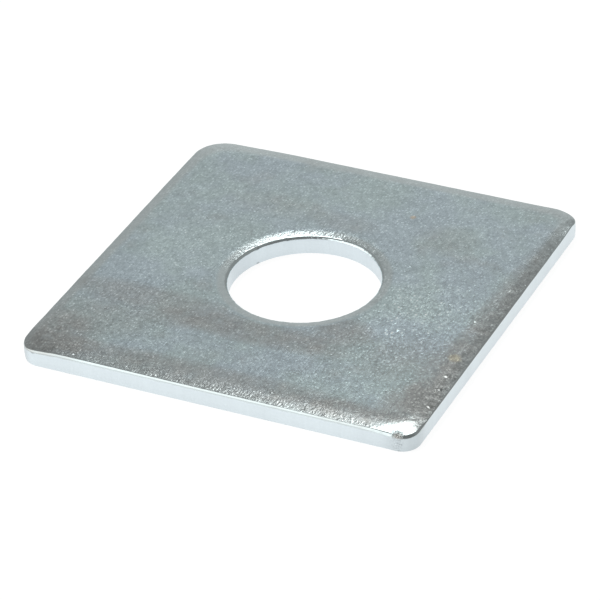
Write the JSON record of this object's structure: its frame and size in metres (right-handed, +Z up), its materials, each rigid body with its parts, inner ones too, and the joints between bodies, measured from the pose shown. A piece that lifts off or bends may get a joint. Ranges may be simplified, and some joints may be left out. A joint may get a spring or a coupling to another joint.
{
  "type": "square plate washer",
  "caption": "Thin square steel plate with rounded corners, drawn top edges and a central round bolt hole, zinc plated; it spreads the load of a bolt head or nut.",
  "frame": {"origin": "centre of the bottom face, on the axis of the hole", "axes": "+Z up through the hole, out of the top face whose edges are drawn round; the sides face X and Y"},
  "size_m": [0.06, 0.06, 0.003],
  "materials": {
    "zinc_plate": "bright zinc plated steel, pale blue-grey, fine grained on the faces and smooth on the sheared edges"
  },
  "bodies": {
    "root": {"plate_washer": "zinc_plate"}
  },
  "joints": []
}
